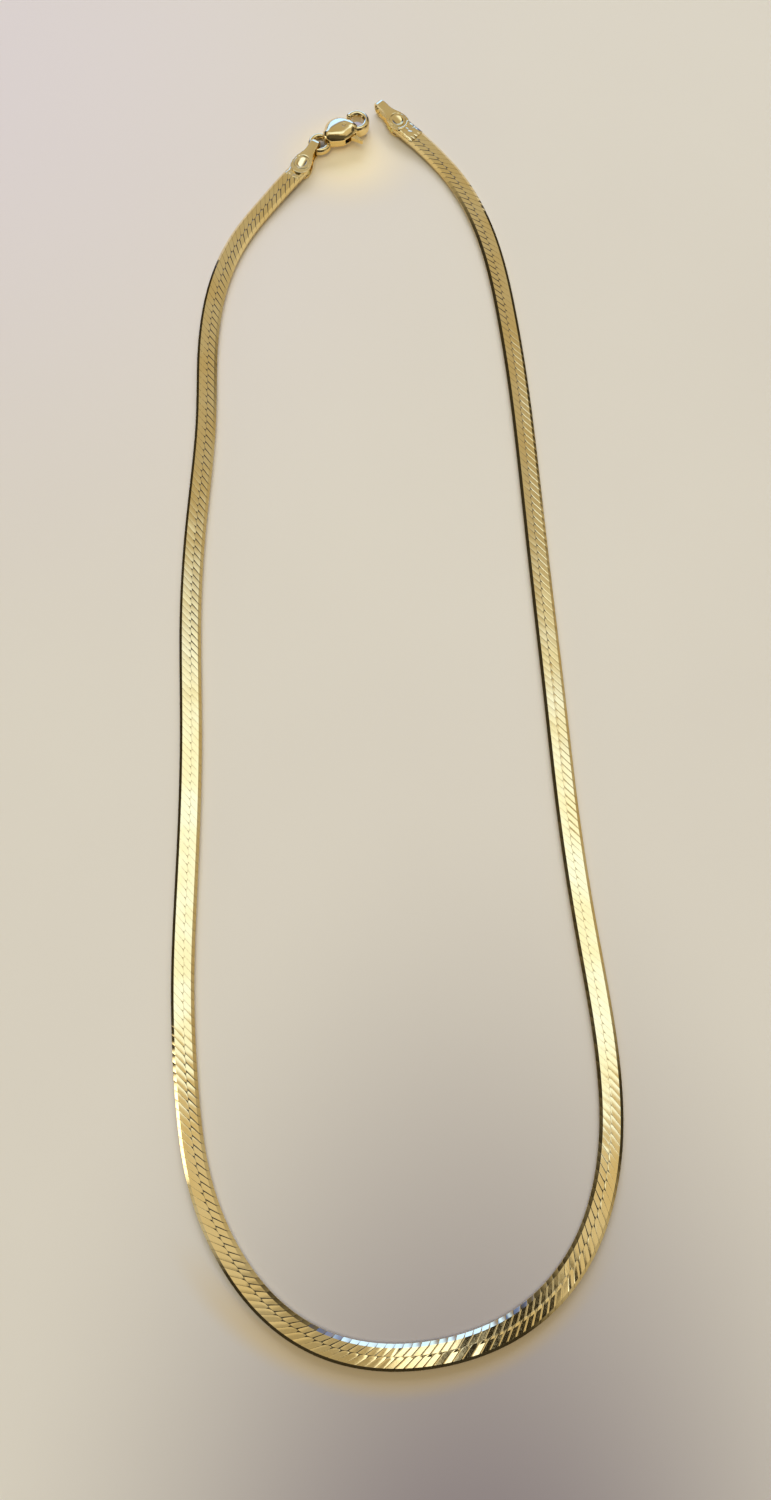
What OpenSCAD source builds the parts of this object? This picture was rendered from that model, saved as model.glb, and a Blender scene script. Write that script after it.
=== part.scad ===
// Herringbone chain necklace, laid open on a table with its clasp undone.
// Millimetres. +Z is up and z = 0 is the table. +Y points from the bottom of
// the loop to the open ends, and the origin is under the middle of the whole.

/* [Chain] */
// Width of the woven band
chain_w = 3.4; // [2.4:0.1:3.8]
// Thickness of the woven band
chain_t = 1; // [0.8:0.05:1.1]
// Width of the flat top face, between the two bevels
chain_flat_w = 2.5; // [1.4:0.1:2.8]
// Height of the band's edge, where the lower bevel starts
chain_edge_h = 0.3; // [0.15:0.05:0.35]
// Height of the band's edge, where the upper bevel starts
chain_bevel_h = 0.66; // [0.5:0.02:0.75]
// Length over which the band comes down from each tip to the table
chain_drop_len = 10; // [6:1:20]

/* [End tips] */
// Width of a tip's round end, over the band's end
tip_w = 3.6; // [3.4:0.1:4.4]
// Width of a tip's narrow end, at its fold
tip_fold_w = 1; // [0.8:0.1:1.1]
// Length from the middle of the round end to the outside of the fold
tip_reach = 6; // [5:0.1:7]
// Thickness of the tip's sheet
tip_sheet = 0.35; // [0.25:0.01:0.4]
// Height of a tip at its fold
tip_fold_h = 2.3; // [2.2:0.05:2.5]
// Width of the dish pressed into the upper leaf
dish_w = 2; // [1.4:0.1:2.4]
// Depth of the dish
dish_depth = 0.15; // [0.08:0.01:0.2]
// Turn of the clasp's tip from the line of the band
clasp_tip_turn = 8; // [0:1:12]
// Turn of the catch tip from the line of the band
catch_tip_turn = -3; // [-6:1:6]

/* [Clasp] */
// Angle of the clasp on the table
clasp_angle = 34; // [20:1:40]
// Distance from the tail ring's middle to the hook eye's middle
clasp_reach = 7.7; // [7.4:0.1:9]
// Outer diameter of the tail ring
tail_ring_od = 4.2; // [4:0.1:4.4]
// Width of the tail ring's wire
tail_ring_wire = 1; // [0.9:0.05:1.05]
// Height of the tail ring's wire
tail_ring_h = 1.3; // [1.1:0.05:1.35]
// How far the tail ring hangs out of line with the tip
tail_ring_offset = 0.4; // [0:0.02:0.42]
// Width of the body
body_w = 5.1; // [4.8:0.1:5.3]
// Height of the body
body_h = 3.2; // [2.8:0.05:3.4]
// Rounding of the body's edge
body_round = 1.15; // [1:0.05:1.25]
// Outer diameter of the hook
hook_od = 4.5; // [4.2:0.1:4.8]
// Width of the hook's wire
hook_wire = 1.1; // [0.9:0.05:1.2]
// Height of the hook's wire
hook_h = 2.2; // [1.8:0.05:2.4]
// How far the hook eye's middle lies to the spine side
hook_offset = 0.4; // [0.2:0.05:0.6]

/* [Lever] */
// Thickness of the lever
lever_t = 0.8; // [0.6:0.05:0.9]
// Width of the gate arm
gate_w = 0.8; // [0.6:0.05:0.9]
// Diameter of the lever's boss
boss_d = 1.6; // [1.4:0.1:1.8]
// Reach of the thumb nub from the pin
nub_reach = 3.9; // [3.6:0.1:4.1]
// Diameter of the rivet
pin_d = 0.6; // [0.4:0.05:0.7]

/* [Clearances] */
// Gap between the band and the tip's leaves
leaf_gap = 0.03; // [0.02:0.01:0.05]
// Gap between the lever and the faces of its slot, on each side
slot_gap = 0.06; // [0.04:0.01:0.1]
// Radial gap between the lever's bore and the rivet
pin_play = 0.03; // [0.02:0.005:0.06]
// Radial gap between the body's bore and the rivet
pin_fit = 0.01; // [0.005:0.005:0.02]
// Gap between the closed gate and the hook's point
gate_gap = 0.06; // [0.04:0.01:0.12]
// Gap between the body and the hook's point, where the gate is
mouth = 0.6; // [0.5:0.05:0.8]

/* [Hidden] */
gold = [0.87, 0.74, 0.42];
pale_gold = [0.92, 0.82, 0.52];

// Route of the band's middle line, from the clasp end down, round and up to the catch end
route = [
    [-15, 151.8], [-19.8, 145.7], [-25.5, 138], [-29.3, 128], [-30.5, 115],
    [-29.5, 101], [-30.8, 84], [-31.2, 67], [-29.8, 48], [-29.5, 29],
    [-29.8, 10], [-28.3, -6], [-26, -20], [-18, -33], [-7, -39.5],
    [6, -40], [19, -36], [28.2, -26.5], [32.3, -13], [31.8, 2],
    [29.3, 18], [27.4, 35], [26.3, 53], [25, 70], [23.8, 88],
    [22.6, 106], [20.8, 122], [18.3, 137.5], [12.3, 151.5], [2.4, 161]
];
steps_per_span = 5;

// A smooth B-spline that starts and ends on the route's first and last points
last = len(route) - 1;
guide = concat([2 * route[0] - route[1]], route, [2 * route[last] - route[last - 1]]);
function weights(t) = [pow(1 - t, 3), 3 * t * t * t - 6 * t * t + 4, -3 * t * t * t + 3 * t * t + 3 * t + 1, t * t * t] / 6;
function slopes(t) = [-pow(1 - t, 2), 3 * t * t - 4 * t, -3 * t * t + 2 * t + 1, t * t] / 2;
function blend(w, i) = w[0] * guide[i] + w[1] * guide[i + 1] + w[2] * guide[i + 2] + w[3] * guide[i + 3];
path_count = last * steps_per_span + 1;
function span_of(k) = min(floor(k / steps_per_span), last - 1);
function share_of(k) = k / steps_per_span - span_of(k);
path = [for (k = [0:path_count - 1]) blend(weights(share_of(k)), span_of(k))];
heading = [for (k = [0:path_count - 1]) let (s = blend(slopes(share_of(k)), span_of(k))) s / norm(s)];

// Distance along the band to each ring, and how high the ring is lifted there:
// level over the tip's lower leaf, then down to the table
function run_to(k, done = 0, i = 1) = i > k ? done : run_to(k, done + norm(path[i] - path[i - 1]), i + 1);
run = [for (k = [0:path_count - 1]) run_to(k)];
chain_len = run[path_count - 1];
end_lift = tip_sheet + leaf_gap;
level_len = tip_w / 2 + 0.3;
function eased(x) = x <= 0 ? 1 : x >= 1 ? 0 : 1 - x * x * (3 - 2 * x);
function lift_at(s) = end_lift * eased((min(s, chain_len - s) - level_len) / chain_drop_len);

// Section of the band, seen along it: [across, up]
foot_w = chain_w - 2 * chain_edge_h;
section = [
    [-chain_w / 2, chain_edge_h], [-foot_w / 2, 0], [foot_w / 2, 0], [chain_w / 2, chain_edge_h],
    [chain_w / 2, chain_bevel_h], [chain_flat_w / 2, chain_t], [-chain_flat_w / 2, chain_t],
    [-chain_w / 2, chain_bevel_h]
];
sides = len(section);

// Where the tips lie and point
function angle_of(v) = atan2(v[1], v[0]);
function polar(r, a) = r * [cos(a), sin(a)];
clasp_end = route[0];
catch_end = route[last];
clasp_tip_angle = angle_of(route[0] - route[1]) + clasp_tip_turn;
catch_tip_angle = angle_of(route[last] - route[last - 1]) + catch_tip_turn;
leaf_top = end_lift + chain_t + leaf_gap;
fold_r = tip_fold_h / 2;
fold_x = tip_reach - fold_r;
dish_x = 0.4;
dish_ball_r = (pow(dish_w / 2, 2) + pow(dish_depth, 2)) / (2 * dish_depth);

// The clasp's own frame starts in the middle of its tail ring
ring_slack = 0.02;
body_z = body_h / 2;
ring_r = (tail_ring_od - tail_ring_wire) / 2;
ring_z = fold_r;
ring_rise = (tail_ring_h - tail_ring_wire) / 2;
ring_reach = tip_reach - tip_sheet / 2 - ring_slack;
clasp_origin = clasp_end + polar(ring_reach, clasp_tip_angle) - polar(tail_ring_offset, clasp_tip_angle + 90);
hook_r = (hook_od - hook_wire) / 2;
hook_center = [clasp_reach, -hook_offset];
eye_r = hook_od / 2 - hook_wire;
eye_relief = 0.05;
hook_start = -150;
hook_end = 108;
hook_rise = (hook_h - hook_wire) / 2;
point_r = hook_wire / 2 * 1.04;

// The body is drawn over three discs: tail, belly and shoulder
hook_root = clasp_reach - hook_od / 2;
tail_start = 0.8;
tail_r = body_w * 0.3;
tail_center = [tail_start + tail_r, -0.3];
belly_center = [hook_root - 1.35, -0.1];
shoulder_r = body_w * 0.27;
shoulder_center = [hook_root + 0.5, -hook_offset - 0.6];

// The lever's own points: pin, elbow and tip of the gate, root and tip of the nub
pin_center = [hook_root - 0.5, -hook_offset - 0.1];
hook_point = hook_center + polar(hook_r, hook_end);
gate_r = gate_w / 2;
gate_lean = 118;
gate_tip = hook_point + polar(point_r + gate_r + gate_gap, hook_end + gate_lean);
elbow_angle = 158;
elbow_clear = 0.15;
gate_elbow = hook_center + polar(eye_r + gate_r + elbow_clear, elbow_angle);
nub_angle = -70;
nub_bend = 4;
nub_root = pin_center + polar(nub_reach / 2, nub_angle - nub_bend);
nub_tip = pin_center + polar(nub_reach, nub_angle);
nub_root_r = gate_w * 0.55;
nub_tip_r = gate_w * 0.2;

// The slot runs right through the body's near side, and on to the hook at the gate's side
slot_h = lever_t + 2 * slot_gap;
slot_back = pin_center[0] - boss_d / 2 - 0.3;
slot_front = pin_center[0] + 1.3;
slot_low = -hook_offset - 0.5;
pin_inset = 0.02;

// The middle of the whole, so that the origin lies under it
tip_far = catch_end[1] + tip_reach * sin(catch_tip_angle) + tip_fold_w / 2 * abs(cos(catch_tip_angle));
edge_points = [for (k = [0:path_count - 1], side = [-1, 1])
    path[k] + side * chain_w / 2 * [-heading[k][1], heading[k][0]]];
middle = [
    (min([for (p = edge_points) p[0]]) + max([for (p = edge_points) p[0]])) / 2,
    (min([for (p = edge_points) p[1]]) + tip_far) / 2
];

// A bar between two points, with a round end of its own size at each
module bar(a, ra, b, rb) {
    along = angle_of(b - a);
    lean = acos((ra - rb) / norm(b - a));
    translate(a) circle(r = ra, $fn = 48);
    translate(b) circle(r = rb, $fn = 48);
    polygon([
        a + ra * [cos(along + lean), sin(along + lean)], a + ra * [cos(along - lean), sin(along - lean)],
        b + rb * [cos(along - lean), sin(along - lean)], b + rb * [cos(along + lean), sin(along + lean)]
    ]);
}

// A disc of the body, lying flat, with a rounded edge
module body_disc(center, r) {
    translate([center[0], center[1], body_z])
        rotate_extrude($fn = 40)
            intersection() {
                translate([r - body_round, 0])
                    union() {
                        translate([0, body_h / 2 - body_round]) circle(r = body_round, $fn = 24);
                        translate([0, -body_h / 2 + body_round]) circle(r = body_round, $fn = 24);
                        translate([0, -body_h / 2 + body_round])
                            square([body_round, body_h - 2 * body_round]);
                        translate([-r, -body_h / 2]) square([r, body_h]);
                    }
                translate([0, -body_h / 2]) square([r, body_h]);
            }
}

// The woven band as one solid, swept along its route
module chain() {
    points = [for (k = [0:path_count - 1], q = section)
        let (across = [-heading[k][1], heading[k][0]], p = path[k] + q[0] * across)
            [p[0], p[1], q[1] + lift_at(run[k])]];
    faces = concat(
        [[for (j = [0:sides - 1]) j]],
        [for (k = [0:path_count - 2], j = [0:sides - 1])
            let (a = k * sides + j, b = k * sides + (j + 1) % sides) [a, a + sides, b + sides, b]],
        [[for (j = [sides - 1:-1:0]) (path_count - 1) * sides + j]]
    );
    color(gold) polyhedron(points = points, faces = faces);
}

// A fold-over tip: one strip folded at its narrow end, seen from the side and from above
module end_tip() {
    difference() {
        intersection() {
            linear_extrude(tip_fold_h) bar([0, 0], tip_w / 2, [tip_reach, 0], tip_fold_w / 2);
            translate([0, tip_w, 0]) rotate([90, 0, 0]) linear_extrude(2 * tip_w) side_of_tip();
        }
        translate([dish_x, 0, leaf_top + tip_sheet - dish_depth + dish_ball_r])
            sphere(r = dish_ball_r, $fn = 64);
    }
}

module side_of_tip() {
    translate([-tip_w / 2, 0]) square([tip_w / 2 + fold_x, tip_sheet]);
    translate([-tip_w / 2, leaf_top]) square([tip_w / 2 + tip_sheet, tip_sheet]);
    polygon([
        [0, leaf_top], [fold_x, tip_fold_h - tip_sheet], [fold_x, tip_fold_h], [0, leaf_top + tip_sheet]
    ]);
    translate([fold_x, fold_r])
        difference() {
            circle(r = fold_r, $fn = 64);
            circle(r = fold_r - tip_sheet, $fn = 64);
            translate([-2 * fold_r, -2 * fold_r]) square([2 * fold_r, 4 * fold_r]);
        }
}

module clasp_tip() {
    color(pale_gold) translate([clasp_end[0], clasp_end[1], 0]) rotate(clasp_tip_angle) end_tip();
}

module catch_tip() {
    color(pale_gold) translate([catch_end[0], catch_end[1], 0]) rotate(catch_tip_angle) end_tip();
}

// Places what is drawn in the clasp's own frame
module at_clasp() {
    translate([clasp_origin[0], clasp_origin[1], 0]) rotate(clasp_angle) children();
}

// Tail ring, body and hook, one casting, slotted for the lever
module clasp_body() {
    color(gold) at_clasp() {
        translate([0, 0, ring_z]) rotate_extrude($fn = 64)
            wire_section(ring_r, tail_ring_wire, ring_rise);
        translate([hook_point[0], hook_point[1], body_z]) hook_end_cap();
        difference() {
            union() {
                body_shell();
                translate([hook_center[0], hook_center[1], body_z]) rotate(hook_start)
                    rotate_extrude(angle = hook_end - hook_start, $fn = 64)
                        wire_section(hook_r, hook_wire, hook_rise);
            }
            translate([pin_center[0], pin_center[1], -body_h])
                cylinder(r = pin_d / 2 + pin_fit, h = 3 * body_h, $fn = 48);
            translate([slot_back, -body_w, body_z - slot_h / 2])
                cube([slot_front - slot_back, body_w * 2, slot_h]);
        }
    }
}

module body_shell() {
    difference() {
        hull() {
            body_disc(tail_center, tail_r);
            body_disc(belly_center, body_w / 2);
            body_disc(shoulder_center, shoulder_r);
        }
        translate([hook_center[0], hook_center[1], -body_h])
            cylinder(r = eye_r + eye_relief, h = 3 * body_h, $fn = 64);
        translate([hook_point[0], hook_point[1], -body_h])
            cylinder(r = point_r + mouth, h = 3 * body_h, $fn = 48);
        translate([slot_back, slot_low, body_z - slot_h / 2])
            cube([clasp_reach - slot_back, body_w * 2, slot_h]);
    }
}

// A wire's section, at its distance from the middle of the bend, with a round top and foot
module wire_section(r, wide, rise) {
    translate([r, rise]) circle(r = wide / 2, $fn = 32);
    translate([r, -rise]) circle(r = wide / 2, $fn = 32);
    translate([r - wide / 2, -rise]) square([wide, 2 * rise]);
}

// The hook's point is a little fuller than its wire
module hook_end_cap() {
    rotate_extrude($fn = 32)
        intersection() {
            union() {
                translate([0, hook_rise]) circle(r = point_r, $fn = 32);
                translate([0, -hook_rise]) circle(r = point_r, $fn = 32);
                translate([-point_r, -hook_rise]) square([2 * point_r, 2 * hook_rise]);
            }
            translate([0, -hook_h]) square([hook_h, 2 * hook_h]);
        }
}

// Gate arm, boss and thumb nub in one flat piece
module clasp_lever() {
    color(pale_gold) at_clasp() translate([0, 0, body_z - lever_t / 2])
        linear_extrude(lever_t)
            difference() {
                union() {
                    bar(pin_center, boss_d / 2, gate_elbow, gate_r);
                    bar(gate_elbow, gate_r, gate_tip, gate_r);
                    bar(pin_center, boss_d / 2, nub_root, nub_root_r);
                    bar(nub_root, nub_root_r, nub_tip, nub_tip_r);
                }
                translate(pin_center) circle(r = pin_d / 2 + pin_play, $fn = 48);
            }
}

// The rivet through the body and the lever
module clasp_pin() {
    color(gold) at_clasp() translate([pin_center[0], pin_center[1], pin_inset])
        cylinder(r = pin_d / 2, h = body_h - 2 * pin_inset, $fn = 48);
}

module placed() {
    translate([-middle[0], -middle[1], 0]) children();
}

placed() chain();
placed() clasp_tip();
placed() catch_tip();
placed() clasp_body();
placed() clasp_lever();
placed() clasp_pin();
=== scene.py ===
import math
import bmesh
import bpy
import numpy as np
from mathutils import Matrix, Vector, noise


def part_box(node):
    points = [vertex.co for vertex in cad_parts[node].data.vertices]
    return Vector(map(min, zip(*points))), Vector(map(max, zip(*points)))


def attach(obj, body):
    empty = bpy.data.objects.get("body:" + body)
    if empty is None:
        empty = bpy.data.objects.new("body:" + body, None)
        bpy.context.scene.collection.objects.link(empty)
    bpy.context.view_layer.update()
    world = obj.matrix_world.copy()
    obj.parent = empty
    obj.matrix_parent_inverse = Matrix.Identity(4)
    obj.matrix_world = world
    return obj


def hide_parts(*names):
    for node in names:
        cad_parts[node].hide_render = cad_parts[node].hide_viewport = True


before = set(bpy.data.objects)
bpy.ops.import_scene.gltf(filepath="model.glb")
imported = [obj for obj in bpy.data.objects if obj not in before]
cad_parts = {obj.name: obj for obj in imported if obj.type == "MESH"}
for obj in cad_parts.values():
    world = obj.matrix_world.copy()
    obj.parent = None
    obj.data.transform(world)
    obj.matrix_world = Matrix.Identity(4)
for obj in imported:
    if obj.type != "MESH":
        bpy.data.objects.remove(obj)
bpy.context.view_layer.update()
mm = 0.001
print("frame loaded:", sorted(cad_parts))


# node trees: a signal is one socket that takes + - * and /, and a shop adds the nodes of one tree
class Signal:
    def __init__(self, shop, socket):
        self.shop = shop
        self.socket = socket

    def maths(self, operation, first, second):
        return self.shop.node("ShaderNodeMath", {"operation": operation}, {0: first, 1: second})

    def atLeast(self, least):
        return self.maths("MAXIMUM", self, least)

    def __add__(self, other):
        return self.maths("ADD", self, other)

    def __sub__(self, other):
        return self.maths("SUBTRACT", self, other)

    def __rsub__(self, other):
        return self.maths("SUBTRACT", other, self)

    def __mul__(self, other):
        return self.maths("MULTIPLY", self, other)

    def __truediv__(self, other):
        return self.maths("DIVIDE", self, other)

    def __rtruediv__(self, other):
        return self.maths("DIVIDE", other, self)

    __radd__ = __add__
    __rmul__ = __mul__


class NodeShop:
    def __init__(self, tree):
        self.tree = tree
        tree.nodes.clear()

    def node(self, kind, settings=None, inputs=None, output=0):
        made = self.tree.nodes.new(kind)
        for name, value in (settings or {}).items():
            setattr(made, name, value)
        for name, value in (inputs or {}).items():
            if isinstance(value, Signal):
                self.tree.links.new(value.socket, made.inputs[name])
            else:
                made.inputs[name].default_value = value
        return Signal(self, made.outputs[output]) if len(made.outputs) else None

    def vector(self, operation, inputs, output=0):
        return self.node("ShaderNodeVectorMath", {"operation": operation}, inputs, output)

    def mixed(self, factor, first, second):
        return self.node("ShaderNodeMix", {"data_type": "RGBA"}, {0: factor, 6: first, 7: second}, 2)

    def stepped(self, value, low, high):
        inputs = {"Value": value, "From Min": low, "From Max": high}
        return self.node("ShaderNodeMapRange", {"interpolation_type": "SMOOTHSTEP"}, inputs)

    def between(self, value, low, high, soft):
        # 1 from low to high, 0 outside, with both edges softened
        rise = self.stepped(value, low - soft, low + soft)
        return rise * (1 - self.stepped(value, high - soft, high + soft))


def newMaterial(name):
    made = bpy.data.materials.new(name)
    made.use_nodes = True
    return made, NodeShop(made.node_tree)


def stepped(value, low, high):
    # 0 below low and 1 above high, with a smooth rise between them
    t = min(max((value - low) / (high - low), 0), 1)
    return t * t * (3 - 2 * t)


def rgb(red, green, blue):
    # a colour as a picture shows it, 0 to 255, turned into light
    shares = [c / 255 for c in (red, green, blue)]
    return [(c / 12.92 if c < 0.04045 else ((c + 0.055) / 1.055) ** 2.4) for c in shares] + [1]


# the camera stands where the photo was taken from, with its place in millimetres
camera = {"place": (-0.47, -62.22, 167.6), "tilt": 15, "lens": 27.05, "sensor": 36, "nearest": 5}


def makeCamera():
    place = [c * mm for c in camera["place"]]
    bpy.ops.object.camera_add(location=place, rotation=(math.radians(camera["tilt"]), 0, 0))
    made = bpy.context.object
    made.name = "camera"
    made.data.lens = camera["lens"]
    made.data.sensor_width = camera["sensor"]
    made.data.clip_start = camera["nearest"] * mm
    bpy.context.scene.camera = made


makeCamera()
bpy.context.scene.view_settings.view_transform = "Standard"
print("camera made")


# the room: a cool panel overhead, a window low on the far side, a lamp near the left, darker walls;
# overhead, a place is how far a ray leans east or north as it rises by one, low down it is a bearing
# (east against north) and a height, two places are where a soft edge starts and ends, and a band is
# its two ends and how far each of them is softened
room = {
    "warm": rgb(255, 242, 212), "cream": rgb(255, 250, 238), "cool": rgb(221, 237, 255),
    "sky": rgb(152, 192, 255), "blue": rgb(80, 130, 255), "backdrop": rgb(226, 218, 207),
    "leastSlope": 0.05, "overhead": (0.5, 0.6), "farSide": (0.1, 0.3),
    "ceiling": {
        "walls": 0.04, "near": 0.68, "far": 0.50, "dim": 0.42, "front": 0.15,  # how bright each part is
        "rise": (0.52, 0.72), "farNorth": (0.1, 0.55), "dimNorth": (-0.2, -0.15), "dimEast": (-0.03, 0.02),
        "frontNorth": (-0.42, -0.27),
    },
    "panel": {
        "bright": 1.58, "east": (-0.5, 0.42, 0.05),
        "near": (-0.052, -0.006), "nearSlant": 0.15, "far": (0.22, 0.53), "farSlant": 0.27,
        # its near edge steps inwards right of the middle and on the far left
        "inwards": 0.1, "stepStart": (-0.02, 0.02), "stepEnd": (0.1, 0.14), "leftStep": (-0.28, -0.24),
    },
    "nearPatch": {"east": (0.0, 0.046, 0.012), "north": (-0.33, -0.175, 0.02)},
    "darkPatch": {"east": (0.05, 0.134, 0.01), "north": (-0.4, -0.166, 0.015), "depth": 0.96},
    "window": {"bright": 2.1, "bearing": (-0.62, 0.28, 0.06), "height": (0.06, 0.6, 0.03)},
    "halo": {"bright": 0.8, "bearing": (-0.8, 0.46, 0.1), "height": (0.03, 0.62, 0.04)},
    # cones of light, with their half angle and its softness in degrees
    "lamp": {"bright": 3.2, "towards": (-0.958, -0.2, 0.12), "wide": 8.5, "soft": 1.5},
    "glint": {"bright": 0.5, "towards": (-0.9, -0.42, 0.14), "wide": 9, "soft": 6},
    "eastWall": {"bright": 0.42, "towards": (1, 0.36, 0.47), "wide": 17, "soft": 6},
    "nearWall": {"bright": 0.42, "towards": (0.8, -0.56, 0.3), "wide": 16, "soft": 8},
}


def makeRoom():
    world = bpy.data.worlds.new("studio")
    bpy.context.scene.world = world
    world.use_nodes = True
    shop = NodeShop(world.node_tree)
    direction = shop.node("ShaderNodeTexCoord")
    east, north, up = (shop.node("ShaderNodeSeparateXYZ", {}, {0: direction}, k) for k in range(3))
    safeUp = up.atLeast(room["leastSlope"])
    leanEast = east / safeUp
    leanNorth = north / safeUp
    bearing = east / north.atLeast(room["leastSlope"])
    overhead = shop.stepped(up, *room["overhead"])
    farSide = shop.stepped(north, *room["farSide"])

    def coneGlow(name):
        cone = room[name]
        length = math.hypot(*cone["towards"])
        along = shop.vector("DOT_PRODUCT", {0: direction, 1: [c / length for c in cone["towards"]]}, 1)
        outer = math.cos(math.radians(cone["wide"] + cone["soft"]))
        inner = math.cos(math.radians(cone["wide"] - cone["soft"]))
        return shop.stepped(along, outer, inner) * cone["bright"]

    def overheadPatch(name):
        patch = room[name]
        return shop.between(leanEast, *patch["east"]) * shop.between(leanNorth, *patch["north"]) * overhead

    def farGlow(name):
        patch = room[name]
        shape = shop.between(bearing, *patch["bearing"]) * shop.between(up, *patch["height"]) * farSide
        return shape * patch["bright"]

    ceiling = room["ceiling"]
    far = shop.stepped(leanNorth, *ceiling["farNorth"])
    dim = 1 - shop.stepped(leanNorth, *ceiling["dimNorth"])
    dim = dim * (1 - shop.stepped(leanEast, *ceiling["dimEast"]))
    lit = ceiling["near"] - far * (ceiling["near"] - ceiling["far"])
    lit = lit - dim * (ceiling["near"] - ceiling["dim"])
    front = shop.stepped(leanNorth, *ceiling["frontNorth"])
    lit = lit * (front * (1 - ceiling["front"]) + ceiling["front"])
    base = shop.stepped(up, *ceiling["rise"]) * (lit - ceiling["walls"]) + ceiling["walls"]

    panel = room["panel"]
    step = shop.stepped(leanEast, *panel["stepStart"]) * (1 - shop.stepped(leanEast, *panel["stepEnd"]))
    step = step + 1 - shop.stepped(leanEast, *panel["leftStep"])
    nearEdge = leanNorth + leanEast * panel["nearSlant"] + step * panel["inwards"]
    farEdge = leanNorth + leanEast * panel["farSlant"]
    panelShape = shop.between(leanEast, *panel["east"]) * shop.stepped(nearEdge, *panel["near"])
    panelShape = panelShape * (1 - shop.stepped(farEdge, *panel["far"])) * overhead

    dark = 1 - overheadPatch("darkPatch") * room["darkPatch"]["depth"]
    walls = coneGlow("eastWall") + coneGlow("nearWall")
    glows = (
        ("warm", (base * (1 - panelShape) + walls) * dark),
        ("cool", (panelShape * dark + overheadPatch("nearPatch")) * panel["bright"]),
        ("cream", coneGlow("lamp") + coneGlow("glint")),
        ("sky", farGlow("window")),
        ("blue", farGlow("halo")),
    )
    light = (0, 0, 0)
    for colour, strength in glows:
        glow = shop.vector("SCALE", {0: room[colour][:3], 3: strength})
        light = shop.vector("ADD", {0: light, 1: glow})
    sky = shop.node("ShaderNodeBackground", inputs={"Color": light})
    backdrop = shop.node("ShaderNodeBackground", inputs={"Color": room["backdrop"]})
    seen = shop.node("ShaderNodeLightPath")
    both = shop.node("ShaderNodeMixShader", inputs={0: seen, 1: sky, 2: backdrop})
    shop.node("ShaderNodeOutputWorld", inputs={"Surface": both})


# two lamps that throw the shadows and don't show in the gold, in metres and degrees
lamps = {
    "far_light": {
        "place": (0.05, 1.1, 0.56), "aim": (0, 0, 0), "size": (1.4, 0.4),
        "power": 2.36, "colour": rgb(250, 248, 245), "spread": 80,
    },
    "fill_light": {
        "place": (-0.05, -0.2, 0.9), "aim": (0, -0.03, 0), "size": (0.5, 0.5),
        "power": 0.8, "colour": rgb(255, 236, 190), "spread": 120,
    },
}


def makeLamp(name):
    lamp = lamps[name]
    bpy.ops.object.light_add(type="AREA", location=lamp["place"])
    made = bpy.context.object
    made.name = name
    made.data.shape = "RECTANGLE"
    made.data.size, made.data.size_y = lamp["size"]
    made.data.energy = lamp["power"]
    made.data.color = lamp["colour"][:3]
    made.data.spread = math.radians(lamp["spread"])
    made.visible_glossy = False
    towards = Vector(lamp["aim"]) - Vector(lamp["place"])
    made.rotation_euler = towards.to_track_quat("-Z", "Y").to_euler()


makeRoom()
for lampName in lamps:
    makeLamp(lampName)
print("light made")


# the table top, plain and pale, with soft spots of other tones, most of them painted shadow and painted
# light: sizes and places in millimetres
table = {
    "size": 3000, "drop": 0.02, "pale": rgb(240, 233, 214), "grey": rgb(232, 224, 207),
    # the last value is how strongly the painted glow under the clasp shines by itself
    "cloud": {"Scale": 14, "Detail": 3}, "rough": 0.7, "paintedGlowStrength": 0.15,
    # a spot is round, or narrower from east to west by its squeeze
    "spots": {
        "blush": {"colour": rgb(236, 226, 222), "middle": (-90, 110), "reach": 130, "squeeze": 1},
        # a wide painted shadow that darkens the table towards its near end
        "paintedShadow": {"colour": rgb(138, 126, 129), "middle": (12, -150), "reach": 130, "squeeze": 1.8},
        # a painted pool of golden light under the clasp, laid over its shadow
        "glow": {"colour": rgb(250, 234, 195), "middle": (-7.5, 92.5), "reach": 12.5, "squeeze": 0.8},
        # a painted bluish light on the table under the hook
        "paintedBlueLight": {"colour": rgb(218, 219, 240), "middle": (-5.6, 99.5), "reach": 2.7, "squeeze": 1},
        # a painted dark shadow on the table inside the hole of the clasp's ring
        "shade": {"colour": rgb(30, 32, 58), "middle": (-11.9, 94.9), "reach": 2.5, "squeeze": 1},
    },
    # a painted shadow tinted by gold-reflected light, in the gold's own colour, in a ring outside the
    # bottom bend
    "paintedGoldenShadow": {
        "colour": rgb(214, 184, 112), "middle": (0.5, -71.5), "share": 0.5,
        "inner": (31, 32), "outer": (33, 36.2), "south": (-30, -14),
    },
}


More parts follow.
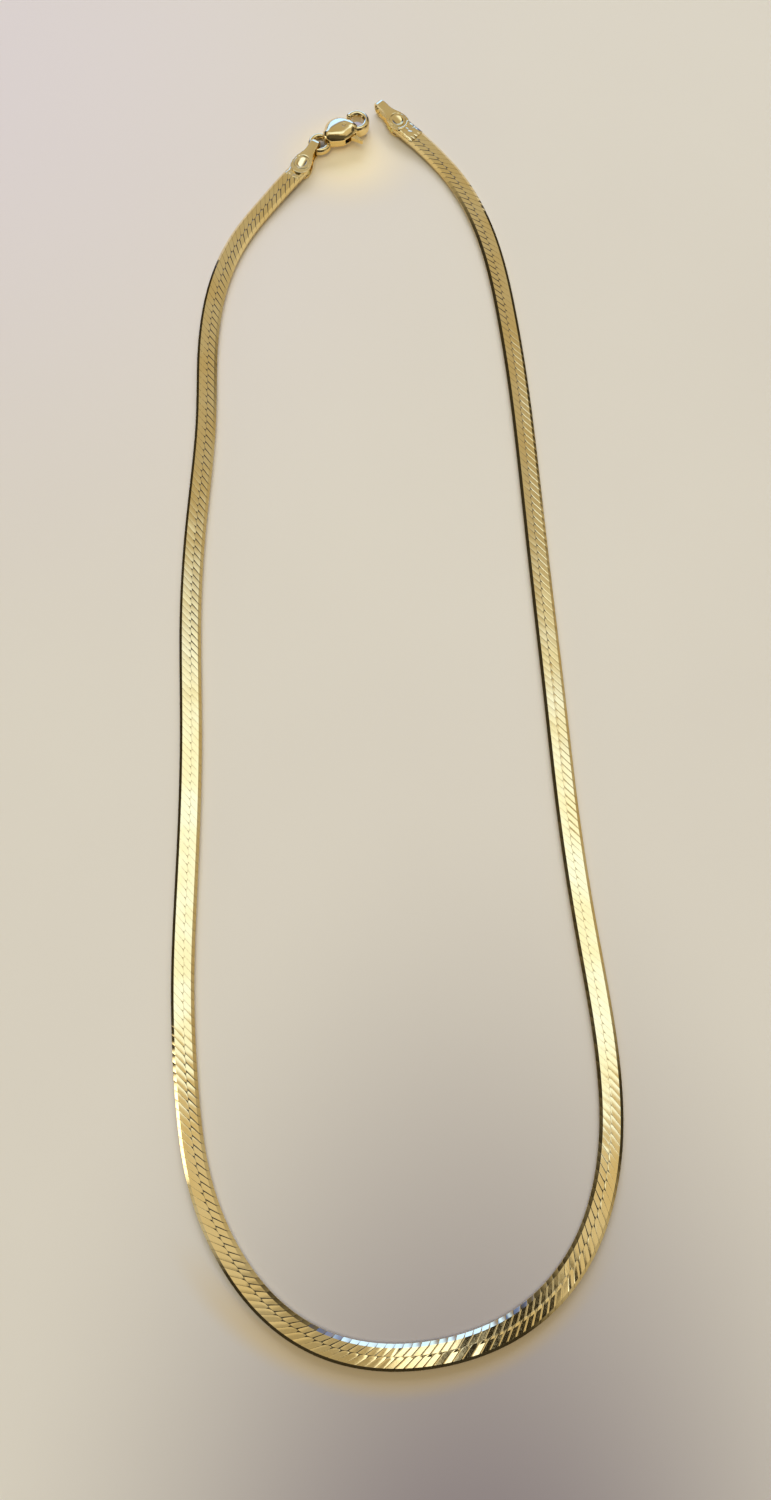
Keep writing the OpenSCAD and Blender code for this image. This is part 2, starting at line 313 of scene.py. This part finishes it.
def makeTable():
    bpy.ops.mesh.primitive_plane_add(size=table["size"] * mm, location=(0, 0, -table["drop"] * mm))
    made = bpy.context.object
    made.name = "table_top"
    bpy.ops.object.transform_apply(location=True, rotation=True, scale=True)
    material, shop = newMaterial("table")
    place = shop.node("ShaderNodeTexCoord", output=3)

    def offsetFrom(spot):
        x, y = spot["middle"]
        return shop.vector("SUBTRACT", {0: place, 1: (x * mm, y * mm, 0)})

    def lengthOf(offset):
        return shop.vector("LENGTH", {0: offset}, 1)

    def softEdge(value, places):
        return shop.stepped(value, *[c * mm for c in places])

    cloud = shop.node("ShaderNodeTexNoise", {}, {"Vector": place, **table["cloud"]})
    colour = shop.mixed(cloud, table["pale"], table["grey"])
    for name, spot in table["spots"].items():
        offset = shop.vector("MULTIPLY", {0: offsetFrom(spot), 1: (spot["squeeze"], 1, 1)})
        spread = 1 - softEdge(lengthOf(offset), (0, spot["reach"]))
        colour = shop.mixed(spread, colour, spot["colour"])
        # the painted glow also shines a little by itself, though it is no lamp
        if name == "glow":
            paintedGlowLight = shop.mixed(spread * spread, (0, 0, 0, 1), spot["colour"])
    # the painted golden shadow, in a ring outside the bottom bend and on its south side only
    paintedGoldenShadow = table["paintedGoldenShadow"]
    offset = offsetFrom(paintedGoldenShadow)
    away = lengthOf(offset)
    ring = softEdge(away, paintedGoldenShadow["inner"]) * (1 - softEdge(away, paintedGoldenShadow["outer"]))
    northward = shop.node("ShaderNodeSeparateXYZ", inputs={0: offset}, output=1)
    below = 1 - softEdge(northward, paintedGoldenShadow["south"])
    colour = shop.mixed(ring * below * paintedGoldenShadow["share"], colour, paintedGoldenShadow["colour"])
    # the painted glow under the clasp is given off through the emission
    surface = shop.node("ShaderNodeBsdfPrincipled", inputs={
        "Base Color": colour, "Roughness": table["rough"],
        "Emission Color": paintedGlowLight, "Emission Strength": table["paintedGlowStrength"]})
    shop.node("ShaderNodeOutputMaterial", inputs={"Surface": surface})
    made.data.materials.append(material)


makeTable()
print("table made")


# yellow gold: pale and worn bright, with fine scratches, and a painted brown shade in its crevices
gold = {
    # the dark brown is the painted shade of the joints between the bars
    "pale": rgb(250, 231, 180), "rich": rgb(245, 219, 156), "jointShadeBrown": rgb(58, 38, 16),
    # how fine the tones and the scratches are, per metre, and where their steps start and end
    "mottle": {"Scale": 130, "Detail": 2}, "mottleStep": (0.35, 0.65),
    "scratch": {"Scale": 2600, "Detail": 3}, "scratchStep": (0.35, 0.75), "worn": 0.04, "deep": 0.02,
    "finish": {
        "band_gold": {"rough": 0.045, "bite": 0.03},
        "clasp_gold": {"rough": 0.07, "bite": 0.03},
        "tip_gold": {"rough": 0.09, "bite": 0.2},
        "solder_gold": {"rough": 0.12, "bite": 0.3},
    },
    # how strongly the joints are painted with shade, and how much rougher and richer in tone they are
    "groove": {"step": (0.4, 0.85), "jointShadeShare": 0.95, "rougher": 0.45, "shade": 0.35},
}


def makeGold(name, grooved=False):
    material, shop = newMaterial(name)
    finish = gold["finish"][name]
    place = shop.node("ShaderNodeTexCoord", output=3)
    mottle = shop.node("ShaderNodeTexNoise", {}, {"Vector": place, **gold["mottle"]})
    scratches = shop.node("ShaderNodeTexNoise", {}, {"Vector": place, **gold["scratch"]})
    colour = shop.mixed(shop.stepped(mottle, *gold["mottleStep"]), gold["pale"], gold["rich"])
    roughness = finish["rough"] + shop.stepped(scratches, *gold["scratchStep"]) * gold["worn"]
    if grooved:
        # the band's links carry how deep in a groove they are, how strongly their joints are painted with
        # shade, and how rich in tone they are
        groove, jointShadeShare, shade = (shop.node("ShaderNodeAttribute", {"attribute_name": kind}, output=2)
                               for kind in ("groove", "jointShadeShare", "shade"))
        depth = shop.stepped(groove, *gold["groove"]["step"])
        colour = shop.mixed(shade * gold["groove"]["shade"], colour, gold["rich"])
        # painted shade darkens the joints
        colour = shop.mixed(depth * jointShadeShare * gold["groove"]["jointShadeShare"], colour, gold["jointShadeBrown"])
        roughness = roughness + depth * gold["groove"]["rougher"]
    relief = shop.node("ShaderNodeBump", {}, {
        "Height": scratches, "Strength": finish["bite"], "Distance": gold["deep"] * mm})
    surface = shop.node("ShaderNodeBsdfPrincipled", inputs={
        "Base Color": colour, "Roughness": roughness, "Metallic": 1.0, "Normal": relief})
    shop.node("ShaderNodeOutputMaterial", inputs={"Surface": surface})
    return material


bandGold = makeGold("band_gold", grooved=True)
castGold = makeGold("clasp_gold")
tipGold = makeGold("tip_gold")
solderGold = makeGold("solder_gold")
print("gold made")


# what every piece goes through by hand: picking it alone, applying its modifiers, a change of unit
def pickNothing():
    bpy.ops.object.select_all(action="DESELECT")


def pickPiece(piece):
    pickNothing()
    bpy.context.view_layer.objects.active = piece
    piece.select_set(True)


def editWhole(piece):
    pickPiece(piece)
    bpy.ops.object.mode_set(mode="EDIT")
    bpy.ops.mesh.select_all(action="SELECT")


def resizeMesh(piece, factor):
    editWhole(piece)
    bpy.ops.transform.resize(value=(factor, factor, factor), center_override=(0, 0, 0))
    bpy.ops.object.mode_set(mode="OBJECT")


def addModifier(piece, kind, **settings):
    made = piece.modifiers.new(kind.lower(), kind)
    for name, value in settings.items():
        setattr(made, name, value)


def applyAll(piece):
    pickPiece(piece)
    for modifier in list(piece.modifiers):
        bpy.ops.object.modifier_apply(modifier=modifier.name)


def bendAlong(piece, guide):
    # a straight piece in millimetres, made along x, turned into metres and laid along the route
    resizeMesh(piece, mm)
    addModifier(piece, "CURVE", object=guide, deform_axis="POS_X")
    applyAll(piece)


def dress(piece, material):
    piece.data.materials.clear()
    piece.data.materials.append(material)


def finishPiece(piece, material, body, slot, *nodes):
    dress(piece, material)
    if nodes:
        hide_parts(*nodes)
    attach(piece, body)


# the band's route along the table, from the clasp end round to the catch end, in millimetres
band = {
    "route": [
        (-15, 151.8), (-19.8, 145.7), (-25.5, 138), (-29.3, 128), (-30.5, 115),
        (-29.5, 101), (-30.8, 84), (-31.2, 67), (-29.8, 48), (-29.5, 29),
        (-29.8, 10), (-28.3, -6), (-26, -20), (-18, -33), (-7, -39.5),
        (6, -40), (19, -36), (28.2, -26.5), (32.3, -13), (31.8, 2),
        (29.3, 18), (27.4, 35), (26.3, 53), (25, 70), (23.8, 88),
        (22.6, 106), (20.8, 122), (18.3, 137.5), (12.3, 151.5), (2.4, 161),
    ],
    "stepsPerSpan": 12, "width": 3.4,
    "lift": 0.38, "levelRun": 2.1, "dropRun": 10,  # each end is lifted onto its tip and drops from there
}


def routePoints():
    # a smooth curve that is drawn towards the route's points
    route = [Vector(p) for p in band["route"]]
    guide = [2 * route[0] - route[1], *route, 2 * route[-1] - route[-2]]
    points = []
    steps = band["stepsPerSpan"]
    for k in range((len(route) - 1) * steps + 1):
        span = min(k // steps, len(route) - 2)
        t = k / steps - span
        weights = ((1 - t) ** 3, 3 * t**3 - 6 * t**2 + 4, -3 * t**3 + 3 * t**2 + 3 * t + 1, t**3)
        points.append(sum((w * p for w, p in zip(weights, guide[span:span + 4])), Vector((0, 0))) / 6)
    return points


def headingAt(points, k):
    return (points[min(k + 1, len(points) - 1)] - points[max(k - 1, 0)]).normalized()


def liftAt(run, length):
    fromEnd = min(run, length - run)
    return band["lift"] * (1 - stepped(fromEnd, band["levelRun"], band["levelRun"] + band["dropRun"]))


def makeGuide():
    points = routePoints()
    runs = [0]
    for a, b in zip(points, points[1:]):
        runs.append(runs[-1] + (b - a).length)
    edges = []
    for k, p in enumerate(points):
        across = headingAt(points, k).orthogonal()
        edges += [p + across * band["width"] / 2, p - across * band["width"] / 2]
    low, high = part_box("chain")
    middle = Vector((min(p.x for p in edges) + max(p.x for p in edges),
                     min(p.y for p in edges) + max(p.y for p in edges))) / 2
    shift = (low + high).xy / 2 / mm - middle
    data = bpy.data.curves.new("guide", "CURVE")
    data.dimensions = "3D"
    data.twist_mode = "Z_UP"
    spline = data.splines.new("POLY")
    spline.points.add(len(points) - 1)
    for point, p, run in zip(spline.points, points, runs):
        point.co = (*((p + shift) * mm), liftAt(run, runs[-1]) * mm, 1)
    made = bpy.data.objects.new("guide", data)
    bpy.context.collection.objects.link(made)
    print("guide made, length", round(runs[-1], 2), "shift", [round(c, 4) for c in shift])
    return made, runs[-1]


# one link: a flat wire loop with a slanted bar in each row, on top and underneath, in millimetres
link = {
    "pitch": 1.252, "slant": 40, "thick": 0.40, "flat": 0.9, "level": 0.74,
    # the section's corners, and the two of them at its sides, where one bar meets the next
    "corners": 6, "sides": [2, 5],
    # one strand, from its top bar's outer end, in past the middle line and out along the bottom
    "strand": [
        {"across": 1.527, "up": 0.585, "lean": 60, "wide": 0.98},
        {"across": 1.23, "up": 0.79, "lean": 3, "wide": 0.965},
        {"across": 0.2, "up": 0.798, "lean": 0.2, "wide": 0.965, "sink": 0.005},
        {"across": -0.05, "up": 0.797, "lean": 0, "wide": 0.84, "sink": 0.03},
        {"across": -0.24, "up": 0.795, "lean": -2, "wide": 0.42, "sink": 0.09},
        {"across": -0.52, "up": 0.21, "lean": -8, "wide": 0.80},
        {"across": -1.50, "up": 0.32, "lean": 55, "wide": 0.98},
    ],
    "topRows": 5,  # the first stations of a strand, which are its top bar
    "sideBelow": 0.002,  # how far the bar's sides lie under its top
    "spare": 3,  # links past each end, so that the cut ends are full
}

# how the links lie and wear along the band: angles in degrees, lengths in millimetres
wear = {
    "scale": 0.3, "wobble": 0.26, "rollShare": 0.6, "seed": 7,
    "sway": 0.35, "waves": (2.2, 4.1, 7.3), "phase": 6.3,
    "shoulder": 0.013, "leastShoulder": 0.1,  # how far the sides are worn down, and the share on fresh bars
    # from where to where the bars are worn round, one row shines, and the painted shade of the joints is
    # faint or weak
    "worn": ((208, 240),), "shiny": ((296, 392),),
    "faded": ((94, 158), (251, 320)), "lessShaded": ((94, 158), (204, 241), (251, 330)), "soft": 6,
    "fadedBy": 0.55, "lessShadedBy": 0.85, "shinyBy": (0.42, 0.2),
    # how dark the painted shade of the joints is: between bars, between the second row's noses, and at the
    # middle line
    "joint": 1, "noseJoint": 0.56, "middleJoint": 0.45,
    "crease": 5,
}


def linkSlope():
    return 1 / math.tan(math.radians(link["slant"]))


def linkStations():
    # the second strand is the first one turned half round the middle line, half a pitch further on
    stations = []
    for side in (1, -1):
        for row in link["strand"]:
            across = row["across"] * side
            up = row["up"] - (row.get("sink", 0) if side > 0 else 0)  # under the other row's noses
            along = across * linkSlope() + (link["pitch"] / 2 if side < 0 else 0)
            lean = row["lean"] if side > 0 else 180 - row["lean"]
            stations.append({"place": Vector((along, across, up)), "lean": lean,
                             "wide": row["wide"] * link["pitch"]})
    return stations


def pickPoints(wanted):
    # selects the edit mesh's points that pass the test
    mesh = bmesh.from_edit_mesh(bpy.context.object.data)
    for v in mesh.verts:
        v.select = bool(wanted(v.co))
    mesh.select_flush(True)
    bmesh.update_edit_mesh(bpy.context.object.data)


def turnAt(place, degrees):
    bpy.ops.transform.rotate(value=math.radians(degrees), orient_axis="X", center_override=place)


def makeLink():
    # a six-sided section, pulled through the stations and closed on itself
    stations = linkStations()
    pickNothing()
    bpy.ops.mesh.primitive_circle_add(
        vertices=link["corners"], radius=1, rotation=(math.pi / 2, math.pi / 6, 0))
    made = bpy.context.object
    made.name = "link"
    bpy.ops.object.transform_apply(location=False, rotation=True, scale=False)
    bpy.ops.object.mode_set(mode="EDIT")
    here = stations[0]
    bpy.ops.transform.resize(value=(here["wide"] / 2, 1, link["thick"] / math.sqrt(3)))
    pickPoints(lambda co: abs(co.z) > link["thick"] / 4)  # all but the corners at the sides
    bpy.ops.transform.resize(value=(link["flat"] * 2, 1, 1))
    bpy.ops.mesh.select_all(action="SELECT")
    turnAt((0, 0, 0), here["lean"])
    bpy.ops.transform.translate(value=here["place"])
    for there in stations[1:]:
        step = there["place"] - here["place"]
        bpy.ops.mesh.extrude_edges_move(TRANSFORM_OT_translate={"value": step})
        turnAt(there["place"], there["lean"] - here["lean"])
        bpy.ops.transform.resize(value=(there["wide"] / here["wide"], 1, 1), center_override=there["place"])
        here = there
    bpy.ops.mesh.select_all(action="DESELECT")
    bpy.ops.mesh.select_non_manifold()
    bpy.ops.mesh.bridge_edge_loops()
    bpy.ops.mesh.select_all(action="SELECT")
    bpy.ops.mesh.normals_make_consistent(inside=False)
    bpy.ops.object.mode_set(mode="OBJECT")
    slopeShoulders(made)
    return made


def slopeShoulders(piece):
    # on top, a bar is level right out to its sides, with a strip there that can slope off
    corners = link["corners"]
    for n, station in enumerate(linkStations()):
        side, row = divmod(n, len(link["strand"]))
        if row >= link["topRows"]:
            continue
        lean = math.radians(link["strand"][row]["lean"])
        outward = Vector((0, math.sin(lean) * (1 - 2 * side), math.cos(lean)))
        halfWide = station["wide"] / 2
        for k, corner in enumerate(piece.data.vertices[n * corners:(n + 1) * corners]):
            offset = corner.co - station["place"]
            if k in link["sides"]:
                corner.co += outward * (link["thick"] / 2 - link["sideBelow"])
            elif row and offset.dot(outward) > 0:
                corner.co.x = station["place"].x + math.copysign(halfWide * link["level"], offset.x)


def insideRuns(runs, name):
    # 1 inside the stretches of that name, 0 outside, with a soft change at their ends
    inside = np.zeros(len(runs))
    for low, high in wear[name]:
        rise = np.clip((runs - low) / wear["soft"], 0, 1)
        fall = np.clip((high - runs) / wear["soft"], 0, 1)
        inside = np.maximum(inside, rise * fall)
    return inside


def layLinks(places, runs, draw):
    # every bar lies a little differently: pitched like a scale, with a slow sway along the band
    count = len(places)
    tilts = draw.normal(0, math.radians(wear["wobble"]), (count, 2, 2))
    shade = draw.random((count, 2))
    steps = np.arange(count)[:, None] * link["pitch"]
    slow = sum(np.sin(steps / wave + draw.random((1, 2)) * wear["phase"]) for wave in wear["waves"])
    slow = slow * math.radians(wear["sway"]) / 2
    worn = insideRuns(runs, "worn")
    shiny = insideRuns(runs, "shiny")
    least = wear["leastShoulder"]
    for n in range(count):
        for row in range(2):
            bar = places[n, row, :4]
            rounded = max(worn[n], shiny[n] * row)
            bar[1:, link["sides"], 2] -= wear["shoulder"] * (least + (1 - least) * rounded)
            x, y = (bar[..., k] - bar[..., k].mean() for k in range(2))
            pitch = tilts[n, row, 0] + math.radians(wear["scale"])
            roll = tilts[n, row, 1] * wear["rollShare"]
            bar[..., 2] += (x - y * linkSlope()) * pitch + y * (roll + slow[n, row])
    return shade


def markGrooves(shape, runs):
    # how deep in a joint each corner is, for the painted shade in the gold's colour
    groove = np.zeros(shape, np.float32)
    sides = link["sides"]
    groove[:, 0, 1:4, sides] = wear["joint"]
    groove[:, 1, 1:3, sides] = wear["noseJoint"]
    groove[:, 1, 3, sides] = wear["joint"]
    shiny = insideRuns(runs, "shiny")
    faded = 1 - insideRuns(runs, "faded") * wear["fadedBy"]
    for row, share in enumerate(wear["shinyBy"]):
        for side in sides:
            groove[:, row, 1:3, side] *= (faded * (1 - share * shiny))[:, None]
    groove[:, 0, 2] = np.maximum(groove[:, 0, 2], wear["middleJoint"])
    groove[:, 0, 3] = wear["joint"]
    groove[:, :, 4:6] = wear["joint"]
    return groove


def addAttribute(piece, name, values):
    made = piece.data.attributes.new(name, "FLOAT", "POINT")
    made.data.foreach_set("value", np.asarray(values, np.float32).ravel())


def makeBand(guide, length):
    made = makeLink()
    spare = link["spare"]
    count = round(length / link["pitch"]) + 2 * spare
    step = length / (count - 2 * spare)
    addModifier(made, "ARRAY", count=count, use_relative_offset=False, use_constant_offset=True,
                constant_offset_displace=(step, 0, 0))
    applyAll(made)
    # the array's points by link, strand, station and corner
    places = np.array([v.co for v in made.data.vertices])
    places = places.reshape(count, 2, len(link["strand"]), link["corners"], 3)
    perStrand = len(link["strand"]) * link["corners"]
    print("links", count, places.shape)
    runs = (np.arange(count) - spare) * step
    shade = layLinks(places, runs, np.random.default_rng(wear["seed"]))
    places[..., 0] -= spare * step
    made.data.vertices.foreach_set("co", places.astype(np.float32).ravel())
    # along the band, how strongly the joints are painted with shade
    jointShadeShare = 1 - insideRuns(runs, "lessShaded") * wear["lessShadedBy"]
    addAttribute(made, "groove", markGrooves(places.shape[:-1], runs))
    addAttribute(made, "jointShadeShare", np.repeat(jointShadeShare, 2 * perStrand))
    addAttribute(made, "shade", np.repeat(shade, perStrand, axis=1))
    for end, side in ((0, -1), (length, 1)):
        editWhole(made)
        bpy.ops.mesh.bisect(plane_co=(end, 0, 0), plane_no=(side, 0, 0), use_fill=True, clear_outer=True)
        bpy.ops.object.mode_set(mode="OBJECT")
    bendAlong(made, guide)
    bpy.ops.object.shade_smooth_by_angle(angle=math.radians(wear["crease"]))
    made.name = "links"
    return made


# the tips, the clasp and its lever: castings with soft edges, worked in millimetres
casting = {
    "clasp_tip": {
        "voxel": 0.042, "soften": 9, "end": (-15.4737, 89.5783), "turn": 59.8,
        "dish": {"at": 0.35, "long": 1.12, "wide": 0.78, "deep": 0.46},
    },
    "catch_tip": {
        "voxel": 0.042, "soften": 9, "end": (1.92629, 98.7783), "turn": 133.18,
        "dish": {"at": 0.3, "long": 1.05, "wide": 0.9, "deep": 0.3},
    },
    "clasp_body": {
        "voxel": 0.05, "soften": 8, "end": (-12.2081, 94.3943), "turn": 34,
        # where the dome starts and ends and fades in, and how it falls off from its middle to its sides
        "belly": {
            "from": 1.4, "to": 6.0, "edge": 0.5, "margin": 0.6, "slice": 0.1, "leastHalf": 0.3,
            "middle": 1.6, "cheek": 0.6, "drop": 0.6, "round": 2.2, "soften": 6,
        },
    },
    "clasp_lever": {"voxel": 0.04, "soften": 5},
    "merge": 1e-6, "softness": 0.5,
}

# what the two tips share: the waist of their neck, and where and how their dish is pressed
tipForm = {
    "waist": {"share": 0.24, "start": 1.1, "long": 3.9},
    "face": {"middle": 0.4, "reach": 1.4, "below": 0.5, "roundDish": 0.28, "under": 1},
    "press": {"farSlope": 1.55, "nearSlope": 0.45, "corner": 5, "cornerShare": 0.3, "edge": 4},
}


def softened(node):
    # a merged copy of the node, remeshed finely so that its edges can be rounded
    made = bpy.data.objects.new(node + "_cast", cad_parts[node].data.copy())
    bpy.context.collection.objects.link(made)
    editWhole(made)
    bpy.ops.mesh.remove_doubles(threshold=casting["merge"])
    bpy.ops.object.mode_set(mode="OBJECT")
    resizeMesh(made, 1 / mm)
    addModifier(made, "REMESH", mode="VOXEL", voxel_size=casting[node]["voxel"])
    addModifier(made, "SMOOTH", factor=casting["softness"], iterations=casting[node]["soften"])
    applyAll(made)
    return made


def axisOf(size):
    turn = math.radians(size["turn"])
    return Vector((math.cos(turn), math.sin(turn)))


def ownPlaces(piece, size):
    # every corner with its place along and across the casting's own axis
    along = axisOf(size)
    for corner in piece.data.vertices:
        offset = corner.co.xy - Vector(size["end"])
        yield corner, offset.dot(along), along.cross(offset)


def dishDepth(dish, u, v):
    # an oval dish with a long slope from the fold and a short one to its far rim
    form = tipForm["press"]
    p = (u - dish["at"]) / dish["long"]
    q = v / dish["wide"]
    oval = math.hypot(p, q)
    if oval >= 1:
        return 0
    rim = math.sqrt(1 - q * q)
    corner = 1 - abs(q) ** form["corner"] * form["cornerShare"]
    press = min((rim - p) / form["farSlope"], (p + rim) / form["nearSlope"], corner) * dish["deep"]
    return min(press, (1 - oval) * form["edge"] * dish["deep"])


def shapeTip(piece, size):
    # a waisted neck, and an oval dish pressed where the round one was
    waist, face = tipForm["waist"], tipForm["face"]
    along = axisOf(size)
    across = Vector((-along.y, along.x))
    top = max(corner.co.z for corner, u, v in ownPlaces(piece, size) if u < face["under"])
    for corner, u, v in ownPlaces(piece, size):
        share = min(max((u - waist["start"]) / waist["long"], 0), 1)
        pinch = waist["share"] * math.sin(math.pi * share) ** 2
        corner.co.xy -= across * v * pinch
        if math.hypot(u - face["middle"], v) > face["reach"] or corner.co.z < top - face["below"]:
            continue
        press = dishDepth(size["dish"], u, v)
        if corner.co.z > top - face["roundDish"]:
            corner.co.z = top - press
        else:
            corner.co.z -= press


def domeBody(piece, size):
    # the body between the ring and the hook is domed above and below, highest along its middle
    belly = size["belly"]
    low, high, margin, edge = (belly[name] for name in ("from", "to", "margin", "edge"))
    places = [(corner, u, v) for corner, u, v in ownPlaces(piece, size) if low - margin < u < high + margin]
    # how far the body reaches to each side, slice by slice
    spans = {}
    for corner, u, v in places:
        span = spans.setdefault(round(u / belly["slice"]), [v, v])
        span[:] = min(span[0], v), max(span[1], v)
    for corner, u, v in places:
        left, right = spans[round(u / belly["slice"])]
        reach = abs(v - (left + right) / 2) / max((right - left) / 2, belly["leastHalf"])
        weight = stepped(u, low - edge, low + edge) * (1 - stepped(u, high - edge, high + edge))
        kept = 1 - belly["drop"] * min(reach, 1) ** belly["round"] * weight
        height = corner.co.z - belly["middle"]
        if abs(height) > belly["cheek"]:
            height = math.copysign(belly["cheek"] + (abs(height) - belly["cheek"]) * kept, height)
            corner.co.z = belly["middle"] + height
    addModifier(piece, "SMOOTH", factor=casting["softness"], iterations=belly["soften"])
    applyAll(piece)


def makeCasting(node, material, body, slot):
    made = softened(node)
    size = casting[node]
    if "dish" in size:
        shapeTip(made, size)
    if "belly" in size:
        domeBody(made, size)
    resizeMesh(made, mm)
    bpy.ops.object.shade_smooth()
    finishPiece(made, material, body, slot, node)
    print(node, "cast,", len(made.data.polygons), "faces")


# where each tip is soldered on, a stretch of the band has melted smooth, in millimetres
solder = {
    "clasp_end": {"reach": 2.9, "seed": 3, "lumps": 0.075},
    "catch_end": {"reach": 4.3, "seed": 11, "lumps": 0.085},
    "squares": (48, 36), "start": 0.8, "halfWide": 1.42, "height": 1.012, "thick": 0.3,
    # how fine the two noises of the far end and of the lumps are, and how much each gives
    "ragged": {"coarse": 2.2, "coarseShare": 0.5, "fine": 6, "fineShare": 0.2},
    "lump": {"coarse": (0.8, 1.2), "fine": (2, 2.6), "fineShare": 0.25, "fineSeed": 5, "least": 0.02},
    # the round foot of the tip, short of the band's end, with a fillet about it
    "foot": {"short": 0.4, "radius": 1.84, "inner": 1.76, "fillet": 0.2, "fade": 0.16},
    "lumpsFrom": (1.8, 2.0),  # the lumps start this far from the foot's middle
    "rim": {"steep": 4, "farShare": 1.5, "drop": 0.16},
}


def solderPoint(size, u, v):
    # u runs from 0 at the tip to 1 at the far end, v from -1 to 1 across the band
    ragged, lump, foot, rim = (solder[name] for name in ("ragged", "lump", "foot", "rim"))
    end = (noise.noise(Vector((v * ragged["coarse"], size["seed"], 0))) * ragged["coarseShare"]
           + noise.noise(Vector((v * ragged["fine"], 0, size["seed"]))) * ragged["fineShare"])
    x = solder["start"] + u * (size["reach"] - solder["start"] + end)
    y = v * solder["halfWide"]
    (coarseX, coarseY), (fineX, fineY) = lump["coarse"], lump["fine"]
    bump = (noise.noise(Vector((x * coarseX, y * coarseY, size["seed"])))
            + lump["fineShare"] * noise.noise(Vector((x * fineX, y * fineY, lump["fineSeed"]))))
    bump = lump["least"] + abs(bump) * size["lumps"]
    away = math.hypot(x + foot["short"], y)
    if away > foot["radius"]:
        fillet = foot["fillet"] * math.exp(-((away - foot["radius"]) / foot["fade"]) ** 2)
    else:
        fillet = foot["fillet"] * stepped(away, foot["inner"], foot["radius"])
    inside = stepped(min(1 - abs(v), (1 - u) * rim["farShare"]) * rim["steep"], 0, 1)
    up = solder["height"] + bump * stepped(away, *solder["lumpsFrom"]) + fillet * inside
    return x, y, up - rim["drop"] * (1 - inside)


def makeSolder(name, guide, length):
    pickNothing()
    along, across = solder["squares"]
    bpy.ops.mesh.primitive_grid_add(x_subdivisions=along, y_subdivisions=across, size=1)
    made = bpy.context.object
    made.name = "solder_" + name
    for corner in made.data.vertices:
        x, y, up = solderPoint(solder[name], corner.co.x + 0.5, corner.co.y * 2)
        corner.co = (length - x if name == "catch_end" else x, y, up)
    addModifier(made, "SOLIDIFY", thickness=solder["thick"], offset=-1)
    applyAll(made)
    editWhole(made)
    bpy.ops.mesh.normals_make_consistent(inside=False)
    bpy.ops.object.mode_set(mode="OBJECT")
    bendAlong(made, guide)
    bpy.ops.object.shade_smooth()
    finishPiece(made, solderGold, "necklace", "tip_gold")
    print(made.name, "made")


guide, length = makeGuide()
links = makeBand(guide, length)
makeSolder("clasp_end", guide, length)
makeSolder("catch_end", guide, length)
bpy.data.objects.remove(guide)
finishPiece(links, bandGold, "necklace", "band_gold", "chain")
makeCasting("clasp_tip", tipGold, "necklace", "tip_gold")
makeCasting("catch_tip", tipGold, "necklace", "tip_gold")
makeCasting("clasp_body", castGold, "necklace", "clasp_gold")
makeCasting("clasp_lever", castGold, "lever", "clasp_gold")
dress(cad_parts["clasp_pin"], castGold)
